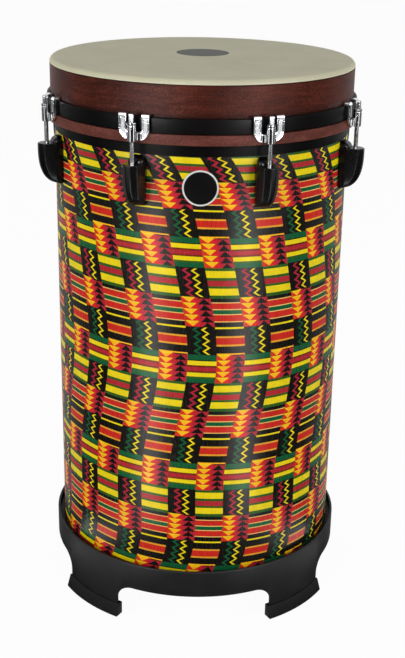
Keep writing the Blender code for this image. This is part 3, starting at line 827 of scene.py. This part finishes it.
def head_collar():
    """Bent wooden collar, its upper edge eased under the skin."""
    inner = COLLAR_RADIUS - COLLAR_WALL
    seam = SKIN_FOOT - SEAM
    tongue = COLLAR_RADIUS - SKIN - GAP
    corners = [
        (COLLAR_RADIUS, COLLAR_FOOT),
        (COLLAR_RADIUS, seam),
        (tongue, seam),
        (inner + GAP, COLLAR_TOP),
        (inner, COLLAR_TOP),
        (inner, COLLAR_FOOT),
    ]
    return turned("head_collar", rounded(corners, COLLAR_EDGE))


def shell_body():
    """Shell with a rounded bearing edge under the skin."""
    inner = SHELL_RADIUS - SHELL_WALL
    crest = SHELL_RADIUS - BEARING_ROUND
    centre = (crest, SHELL_TOP - BEARING_ROUND)
    round_over = arc(centre, (BEARING_ROUND,) * 2, 0, QUARTER, CURVE_STEPS)
    slope = (inner, SHELL_TOP - (crest - inner))
    return turned("shell_body", [(inner, SHELL_FOOT), (SHELL_RADIUS, SHELL_FOOT), *round_over, slope])


def rod_hole(low, high):
    """Cutter for a hole that clears the rod."""
    ring = arc((0, 0), (ROD_RADIUS + ROD_CLEAR,) * 2, 0, math.tau, ROUND_SIDES)[:-1]
    return post("hole", ring, ROD_CIRCLE, low, high)


def claw_outline():
    """Outline of the claw's U, in (y, z)."""
    half = CLAW_HIGH.y
    centre = (half - CLAW_CORNER, CLAW_FOOT + CLAW_CORNER)
    corner = arc(centre, (CLAW_CORNER,) * 2, -QUARTER, 0, CLAW_STEPS)
    fillet = CLAW_SLOT_FILLET
    centre = (CLAW_SLOT - fillet, CLAW_FOOT + CLAW_WEB + fillet)
    inside = arc(centre, (fillet, fillet), 0, -QUARTER, CLAW_STEPS // 2)
    right = [*corner, (half, CLAW_HIGH.z), (CLAW_SLOT, CLAW_HIGH.z), *inside]
    return right + [(-across, height) for across, height in reversed(right)]


def is_near(point, out, height):
    """Whether a point lies at a reach and a height."""
    return abs(point.x - out) < WELD and abs(point.z - height) < WELD


def claw_plate():
    """The U-shaped plate with a raised border, each arm hooked over the band and run in to the collar."""
    plate = prism("claw", [[(CLAW_BACK, y, z) for y, z in claw_outline()]], [(CLAW_PLATE, 0, 0)])
    hooks = []
    for low in (CLAW_SLOT, -CLAW_HIGH.y):
        high = low + CLAW_ARM
        foot = CLAW_HIGH.z - CLAW_PLATE
        corners = ((low, foot), (high, foot), (high, CLAW_HIGH.z), (low, CLAW_HIGH.z))
        end = [(CLAW_LOW.x, y, z) for y, z in corners]
        hooks.append(prism("hook", [end], [(CLAW_BACK + CLAW_PLATE / 2 - CLAW_LOW.x, 0, 0)]))
    shape = bmesh.new()
    shape.from_mesh(combined(plate, hooks, "UNION"))
    bmesh.ops.dissolve_limit(shape, angle_limit=FLAT_ANGLE, verts=shape.verts[:], edges=shape.edges[:])
    tops = [edge for edge in shape.edges if all(is_near(v.co, CLAW_FRONT, CLAW_HIGH.z) for v in edge.verts)]
    round_edges(shape, tops, CLAW_BEND, BEND_STEPS)
    face = max(shape.faces, key=lambda item: item.calc_center_median().x)
    for width, depth in ((CLAW_BORDER, 0.0), (CLAW_DRAFT, -CLAW_RECESS)):
        bmesh.ops.inset_region(shape, faces=[face], thickness=width, depth=depth, use_even_offset=True)
    return eased(finished("claw", shape), CLAW_EDGE, 3)


def claw():
    """Chromed claw: bent plate, barrel for the rod and the gusset that ties the two."""
    shoulder = BARREL_RADIUS - CLAW_EDGE
    rim = arc((shoulder, BARREL_TOP - CLAW_EDGE), (CLAW_EDGE,) * 2, 0, QUARTER, CORNER_STEPS)
    underside = [(0, CLAW_LOW.z), (shoulder, CLAW_LOW.z), (BARREL_RADIUS, CLAW_LOW.z + CLAW_EDGE)]
    barrel = turned("barrel", [*underside, *rim, (0, BARREL_TOP)], steps=ROUND_SIDES)
    barrel.transform(Matrix.Translation((ROD_CIRCLE, 0, 0)))
    spread = BARREL_RADIUS + CLAW_FILLET
    sweep = (ROD_CIRCLE - CLAW_FRONT - GAP, spread - BARREL_NECK)
    flank = arc((ROD_CIRCLE, spread), sweep, math.pi, 1.5 * math.pi, CLAW_STEPS)
    half_plan = [(CLAW_FRONT - CLAW_PLATE / 2, spread), *flank]
    plan = half_plan + [(out, -across) for out, across in reversed(half_plan)]
    low = CLAW_FOOT + CLAW_EDGE
    high = CLAW_FOOT + CLAW_WEB - CLAW_EDGE
    gusset = prism("gusset", [[(out, across, low) for out, across in plan]], [(0, 0, high - low)])
    hole = rod_hole(CLAW_LOW.z - CUT_MARGIN, BARREL_TOP + CUT_MARGIN)
    return combined(combined(claw_plate(), [gusset, barrel], "UNION"), [hole], "DIFFERENCE")


def thread_radius(angle, height):
    """Radius of the rod's thread, run out at its tip and at its upper end inside the lug."""
    turn = (height / THREAD_PITCH - angle / math.tau) % 1.0
    groove = THREAD_DEPTH * abs(2 * turn - 1)
    tip = max(0.0, 1 - (height - ROD_LOW.z) / THREAD_PITCH) * 2 * THREAD_DEPTH
    runs_out = min(1.0, max(0.0, (THREAD_TOP - height) / THREAD_PITCH))
    return ROD_RADIUS - max(groove * runs_out, tip)


def tension_rod():
    """Rod about its own axis, with a rolled thread, a plain shank, a flange and a square for the key."""
    seat = ROD_HIGH.z - KEY_HEIGHT - FLANGE
    rows = math.ceil((THREAD_TOP - ROD_LOW.z) / THREAD_PITCH * THREAD_ROWS)
    angles = [math.tau * side / THREAD_SIDES for side in range(THREAD_SIDES)]
    rings = []
    for row in range(rows + 1):
        height = ROD_LOW.z + (THREAD_TOP - ROD_LOW.z) * row / rows
        rings.append((height, [thread_radius(angle, height) for angle in angles]))
    corners = [(SHANK_RADIUS, seat), (FLANGE_RADIUS, seat), (FLANGE_RADIUS, seat + FLANGE)]
    rim = rounded(corners, FLANGE_EDGE)[CORNER_STEPS + 1 :]  # without its corner at the shank
    shank = [(SHANK_RADIUS, THREAD_TOP + THREAD_PITCH / 2), (SHANK_RADIUS, seat)]
    outline = [*shank, *rim, (FLANGE_RADIUS / 2, seat + FLANGE)]
    rings += [(height, [radius] * THREAD_SIDES) for radius, height in outline]
    sections = []
    for height, radii in rings:
        sections.append([(r * math.cos(a), r * math.sin(a), height) for r, a in zip(radii, angles)])
    rod = loft("tension_rod", sections)
    half = KEY_SIDE / 2
    square = [(-half, -half), (half, -half), (half, half), (-half, half)]
    key = eased(post("key", square, 0, seat + FLANGE / 2, ROD_HIGH.z), KEY_EDGE, CORNER_STEPS)
    return combined(rod, [key], "UNION")


def lug_section(height, inset=0.0):
    """Faceted section of the lug at a height, its corners eased, drawn in by an inset."""
    fall = max(0.0, LUG_BEND - height) / (LUG_BEND - LUG_LOW.z)
    share = max(0.0, 1 - fall**LUG_FULLNESS) ** (1 / LUG_FULLNESS)
    full_depth = LUG_HIGH.x - LUG_LOW.x
    depth = LUG_FOOT_DEPTH + (full_depth - LUG_FOOT_DEPTH) * share - inset
    half = (LUG_FOOT_WIDTH + (LUG_WIDTH - LUG_FOOT_WIDTH) * share) / 2 - inset
    behind, before = (depth * limit for limit in LUG_CREASE_LIMITS)
    reaches = (0, min(LUG_BACK_CREASE, behind), max(before, depth - LUG_FRONT_CREASE), depth)
    side = [(LUG_LOW.x + reach, half * spread) for reach, spread in zip(reaches, LUG_SPREAD)]
    outline = side + [(out, -across) for out, across in reversed(side)]
    return rounded(outline, min(LUG_EDGE, depth * LUG_EDGE_LIMIT), CORNER_STEPS - 1)


def lug_shoulder():
    """Rounded shoulder behind the rod, drawn in towards its top."""
    size = (SHOULDER_DEPTH, SHOULDER_RISE)
    root = (SHOULDER_DEPTH, -LUG_STRAIGHT / 2)
    back = LUG_LOW.x + GAP / 2
    sections = []
    for depth, rise in [root, *arc((0, 0), size, 0, SHOULDER_END, LONG_STEPS)]:
        draw = max(0.0, rise / SHOULDER_RISE)
        half = SHOULDER_WIDTH / 2 * (1 - SHOULDER_TAPER * draw**3)
        corners = [(back, -half), (back + depth, -half), (back + depth, half), (back, half)]
        plan = rounded(corners, depth * SHOULDER_ROUND, CORNER_STEPS + 1)
        sections.append([(out, across, LUG_DECK + rise) for out, across in plan])
    return loft("shoulder", sections)


def lug():
    """Lug casing: faceted cup with a rounded shoulder, open at the back for its nut."""
    falls = [math.sin(QUARTER * (1 - step / LUG_STEPS)) for step in range(LUG_STEPS + 1)]
    heights = [LUG_BEND - fall * (LUG_BEND - LUG_LOW.z) for fall in falls]
    sections = [[(out, across, height) for out, across in lug_section(height)] for height in heights]
    for out, rise in arc((0, LUG_DECK - LUG_EDGE), (LUG_EDGE,) * 2, 0, QUARTER, CORNER_STEPS):
        sections.append([(x, y, rise) for x, y in lug_section(LUG_DECK, LUG_EDGE - out)])
    body = loft("lug", sections)
    pocket_radius = (NUT_HIGH.y - NUT_LOW.y) / 2 + ROD_CLEAR
    slot = LUG_LOW.x - CUT_MARGIN - ROD_CIRCLE
    plan = arc((0, 0), (pocket_radius,) * 2, -QUARTER, QUARTER, ROUND_SIDES // 2)
    plan = [(slot, -pocket_radius), *plan, (slot, pocket_radius)]
    pocket = post("pocket", plan, ROD_CIRCLE, NUT_LOW.z - ROD_CLEAR, NUT_HIGH.z + ROD_CLEAR)
    hole = rod_hole(ROD_LOW.z - ROD_CLEAR, LUG_DECK + CUT_MARGIN)
    return combined(combined(body, [lug_shoulder()], "UNION"), [pocket, hole], "DIFFERENCE")


def arch_cutter():
    """The arches between the legs, as prisms with rounded upper corners."""
    half = BASE_RADIUS * math.sin(math.pi / FEET - LEG_ANGLE / 2)
    top = ARCH_HEIGHT - ARCH_FILLET
    corner = arc((half - ARCH_FILLET, top), (ARCH_FILLET,) * 2, 0, QUARTER, LONG_STEPS)
    side = [(half, -CUT_MARGIN), *corner]
    ring = side + [(-across, height) for across, height in reversed(side)]
    start = math.sqrt(LEG_INNER**2 - half**2) - CUT_MARGIN
    outlines, vectors = [], []
    for foot in FOOT_TURNS:
        spin = Matrix.Rotation(foot + math.pi / FEET, 3, "Z")
        outlines.append([spin @ Vector((start, across, height)) for across, height in ring])
        vectors.append(spin @ Vector((BASE_RADIUS + CUT_MARGIN - start, 0, 0)))
    return prism("arches", outlines, vectors)


def base_ring():
    """Base with a ledge for the shell, cut into legs by the arches."""
    socket = WRAP_RADIUS + GAP
    rim_inner = BASE_RADIUS - BASE_RIM
    groove_floor = BASE_TOP - BASE_GROOVE
    ledge_inner = SHELL_RADIUS - SHELL_WALL - LEDGE_REACH
    lip = arc((BASE_RADIUS - BASE_LIP, BASE_TOP - BASE_LIP), (BASE_LIP,) * 2, 0, QUARTER, BEND_STEPS)
    profile = [
        (LEG_INNER, BASE_FOOT),
        (BASE_RADIUS, BASE_FOOT),
        *lip,
        (rim_inner, BASE_TOP),
        (rim_inner, groove_floor),
        (socket, groove_floor),
        (socket, LEDGE_HEIGHT),
        (ledge_inner, LEDGE_HEIGHT),
        (ledge_inner, LEDGE_HEIGHT - LEDGE),
        (LEG_INNER, LEDGE_HEIGHT - LEDGE),
    ]
    ring = combined(turned("base_ring", profile), [arch_cutter()], "DIFFERENCE")
    return eased(ring, BASE_EDGE)


def rubber_boot():
    """Rubber boot, flared to its sole, with a socket for the end of a leg."""
    inner = LEG_INNER - GAP - FOOT_WALL
    outer = BASE_RADIUS + GAP + FOOT_WALL
    corners = [(inner, FOOT_TOP), (inner, 0), (outer + FOOT_FLARE, 0), (outer, FOOT_TOP)]
    socket_sweep = LEG_ANGLE + 2 * GAP / LEG_INNER
    sweep = socket_sweep + 2 * FOOT_WALL / BASE_RADIUS
    boot = turned("rubber_boot", rounded(corners, FOOT_EDGE), -sweep / 2, sweep, FOOT_STEPS)
    boot = eased(boot, FOOT_EDGE, 3)
    socket_corners = [
        (LEG_INNER - GAP, FOOT_SOLE),
        (BASE_RADIUS + GAP, FOOT_SOLE),
        (BASE_RADIUS + GAP, FOOT_TOP + CUT_MARGIN),
        (LEG_INNER - GAP, FOOT_TOP + CUT_MARGIN),
    ]
    socket = turned("socket", socket_corners, -socket_sweep / 2, socket_sweep, FOOT_STEPS)
    return combined(boot, [socket], "DIFFERENCE")


def badge_disc(finishes):
    """Round badge curved to the shell, with a raised white ring round a plain black face."""
    centre = (BADGE_LOW + BADGE_HIGH) / 2
    radius = (BADGE_HIGH.z - BADGE_LOW.z) / 2 + BADGE_LIP
    back = WRAP_RADIUS + GAP
    thick = -BADGE_LOW.y - back
    face = thick * BADGE_FACE
    middle = radius - BADGE_EDGE - BADGE_RING / 2
    ring = arc((middle, face), (BADGE_RING / 2, thick - face), 0, math.pi, CURVE_STEPS)
    edge = [(radius, 0), (radius, face / 2), (radius - face / 2, face)]
    profile = edge + ring + [(radius * share, face) for share in BADGE_FACE_RINGS]
    shape = bmesh.new()

    def curved(out, height, angle):
        turn = FRONT + out * math.cos(angle) / back
        reach = back + height
        return reach * math.cos(turn), reach * math.sin(turn), centre.z + out * math.sin(angle)

    angles = [math.tau * step / BADGE_STEPS for step in range(BADGE_STEPS)]
    rings = [[shape.verts.new(curved(out, height, angle)) for angle in angles] for out, height in profile]
    ring_bands = range(1, len(edge) + len(ring) - 1)  # all but the outer wall and the black face
    for index, (near, far) in enumerate(zip(rings, rings[1:])):
        before = len(shape.faces)
        strip_faces(shape, near, far)
        shape.faces.ensure_lookup_table()
        for made in shape.faces[before:]:
            made.material_index = 1 if index in ring_bands else 0
    shape.faces.new(rings[-1])
    shape.faces.new(rings[0])
    mesh = finished("badge_disc", shape)
    mesh.materials.append(finishes["badge_enamel"])
    mesh.materials.append(finishes["badge_ring"])
    return mesh


def dress_head(finishes):
    piece("skin_fine", head_skin(), finishes, "head", "head_skin")
    piece("collar_fine", head_collar(), finishes, "head", "head_collar")
    hoop = turned("hoop", flat_ring(BAND_INNER, HOOP_RADIUS, HOOP_FOOT, HOOP_TOP))
    piece("hoop_fine", hoop, finishes, "head", "flesh_hoop")
    band = turned("band", flat_ring(BAND_INNER, BAND_RADIUS, BAND_FOOT, BAND_TOP))
    piece("band_fine", band, finishes, "head", "tension_band")


def dress_shell(finishes):
    piece("shell_fine", shell_body(), finishes, "drum", "shell")
    wrap = turned("wrap", flat_ring(WRAP_RADIUS - WRAP, WRAP_RADIUS, WRAP_FOOT, WRAP_TOP, WRAP / 3))
    piece("wrap_fine", wrap, finishes, "drum", "printed_wrap")
    piece("base_fine", base_ring(), finishes, "drum", "foot_base")
    piece("badge_fine", badge_disc(finishes), finishes, "drum", "badge")
    boot = rubber_boot()
    for number, turn in enumerate(FOOT_TURNS, start=1):
        node = f"rubber_foot_{number}"
        piece(f"{node}_fine", boot, finishes, "drum", node, turn)


def flat_shaded(made):
    """Large faces of a piece mirror as flat ones do, and only its eased edges bend the light."""
    made.modifiers.new("flat_faces", "WEIGHTED_NORMAL").keep_sharp = True


def dress_stations(finishes):
    """Claw, lug and rod of each tuning station. Only the rod is made about its own axis."""
    claw_mesh, rod_mesh, lug_mesh = claw(), tension_rod(), lug()
    for number, turn in enumerate(STATION_TURNS, start=1):
        on_rod = Matrix.Rotation(turn, 3, "Z") @ Vector((ROD_CIRCLE, 0, 0))
        rows = (
            (f"claw_{number}", claw_mesh, "head", (0, 0, 0)),
            (f"lug_{number}", lug_mesh, "drum", (0, 0, 0)),
            (f"tension_rod_{number}", rod_mesh, f"rod_{number}", on_rod),
        )
        for node, mesh, body, place in rows:
            flat_shaded(piece(f"{node}_fine", mesh, finishes, body, node, turn, place))


def dress_hardware(finishes):
    """Nuts and screws keep their solids, and get plated finishes and eased edges."""
    for name, node in frame["nodes"].items():
        if not name.startswith(("swivel_nut_", "lug_screw_")):
            continue
        node.data.materials.clear()
        node.data.materials.append(finishes[SLOTS[name]])
        edge = node.modifiers.new("eased edges", "BEVEL")
        edge.width = HIDDEN_EDGE
        edge.segments = 2


# Studio


def add_camera():
    forward = Vector((
        math.sin(CAMERA_YAW) * math.cos(CAMERA_TILT),
        math.cos(CAMERA_YAW) * math.cos(CAMERA_TILT),
        -math.sin(CAMERA_TILT),
    ))
    level = Vector((math.cos(CAMERA_YAW), -math.sin(CAMERA_YAW), 0))
    upright = level.cross(forward)
    right = level * math.cos(CAMERA_ROLL) + upright * math.sin(CAMERA_ROLL)
    up = upright * math.cos(CAMERA_ROLL) - level * math.sin(CAMERA_ROLL)
    data = bpy.data.cameras.new("camera")
    data.lens = CAMERA_LENS
    camera = placed("camera", data)
    turn = Matrix((right, up, -forward)).transposed()
    camera.matrix_world = Matrix.Translation(CAMERA_PLACE) @ turn.to_4x4()
    bpy.context.scene.camera = camera


def seen_rays(nodes):
    """1 where the camera, a reflection or a see-through surface looks, and 0 for bounced light."""
    path = nodes.node("ShaderNodeLightPath")
    seen = Field(nodes, path.outputs["Is Camera Ray"])
    for kind in ("Is Glossy Ray", "Is Transmission Ray"):
        seen = seen.math("MAXIMUM", path.outputs[kind])
    return seen


def add_world():
    world = bpy.data.worlds.new("studio")
    world.use_nodes = True
    nodes = Nodes(world.node_tree)
    background = nodes.tree.nodes["Background"]
    background.inputs["Color"].default_value = (1, 1, 1, 1)
    nodes.put(background.inputs["Strength"], seen_rays(nodes).scaled(BACKGROUND - AMBIENT, AMBIENT))
    bpy.context.scene.world = world


def add_floor():
    """Pale floor that shows white, with a faint shadow under the drum."""
    material = bpy.data.materials.new("floor")
    material.use_nodes = True
    nodes = Nodes(material.node_tree)
    nodes.tree.nodes.remove(nodes.tree.nodes["Principled BSDF"])
    diffuse = nodes.node("ShaderNodeBsdfDiffuse", Color=(FLOOR_GREY, FLOOR_GREY, FLOOR_GREY, 1))
    glow = nodes.node("ShaderNodeEmission", Strength=FLOOR_GLOW)
    mixed = nodes.node("ShaderNodeMixShader")
    share = seen_rays(nodes) * (1 - SHADOW_SHARE)
    for socket, value in zip(mixed.inputs, (share, diffuse.outputs[0], glow.outputs[0])):
        nodes.put(socket, value)
    nodes.put(nodes.tree.nodes["Material Output"].inputs["Surface"], mixed.outputs[0])
    half = FLOOR_HALF
    mesh = bpy.data.meshes.new("floor")
    corners = [(-half, -half, 0), (half, -half, 0), (half, half, 0), (-half, half, 0)]
    mesh.from_pydata(corners, [], [(0, 1, 2, 3)])
    mesh.materials.append(material)
    floor = placed("floor", mesh)
    floor.location.z = -GAP


def add_cloth():
    """Studio cloth round the drum, dark in front and paler behind. Only reflections show it."""
    finish = Finish("studio_cloth", Base_Color=(0, 0, 0, 1), Specular_IOR_Level=0.0, Emission_Strength=1.0)
    x, y = finish.axes()[:2]
    turn = x.math("ARCTAN2", y * -1.0).math("ABSOLUTE") / math.pi
    finish.feed("Emission Color", finish.ramp(turn, grey_stops(CLOTH_GREYS)))
    front = CLOTH_TURN / 360 * CLOTH_STEPS
    shape = bmesh.new()
    rings = []
    for radius, height in ((BASE_RADIUS, 0), (CLOTH_REACH, 0), (CLOTH_REACH, CLOTH_RISE)):
        points = arc((0, 0), (radius, radius), FRONT, FRONT + math.tau, CLOTH_STEPS)[:-1]
        rings.append([shape.verts.new((*point, height)) for point in points])
    strip_faces(shape, rings[0], rings[1])
    for step in range(CLOTH_STEPS):
        if min(step, CLOTH_STEPS - step) < front:
            shape.faces.new((rings[1][step - 1], rings[1][step], rings[2][step], rings[2][step - 1]))
    mesh = finished("studio_cloth", shape)
    mesh.materials.append(finish.material)
    cloth = placed("studio_cloth", mesh)
    cloth.visible_camera = False
    cloth.visible_diffuse = False
    cloth.visible_shadow = False


def add_lamp(name, place, target, size, watts, lean=0.0, sheen_only=False):
    """A soft rectangular lamp turned to a point, which the camera doesn't see."""
    data = bpy.data.lights.new(name, "AREA")
    data.shape = "RECTANGLE"
    data.size, data.size_y = size
    data.energy = watts
    lamp = placed(name, data)
    lamp.location = place
    aim = Vector(target) - Vector(place)
    turn = aim.to_track_quat("-Z", "Y") @ Quaternion((0, 0, 1), lean)
    lamp.rotation_euler = turn.to_euler()
    lamp.visible_camera = False
    lamp.visible_diffuse = not sheen_only


def add_sheen(name, turn, reach, size, height, watts, lean):
    """A panel that only reflections show, placed where the wall mirrors it at one angle from the front."""
    angle = math.radians(turn)
    wall = Vector((math.sin(angle), -math.cos(angle), 0)) * WRAP_RADIUS + Vector((0, 0, height))
    mirrored = Vector((math.sin(2 * angle), -math.cos(2 * angle), 0))
    add_lamp(name, wall + mirrored * reach, wall, size, watts, lean, sheen_only=True)


def add_lamps():
    for name, place, size, watts in LAMPS:
        add_lamp(name, place, LIT_PLACE, size, watts)
    for side in (-1, 1):
        for name, turn, reach, size, height, watts, lean in SHEENS:
            add_sheen(name, turn * side, reach, size, height, watts, math.radians(lean) * side)


def main():
    bpy.context.scene.view_settings.view_transform = "Standard"
    add_camera()
    add_world()
    add_floor()
    add_cloth()
    add_lamps()
    finishes = make_finishes()
    dress_head(finishes)
    dress_shell(finishes)
    dress_stations(finishes)
    dress_hardware(finishes)


main()
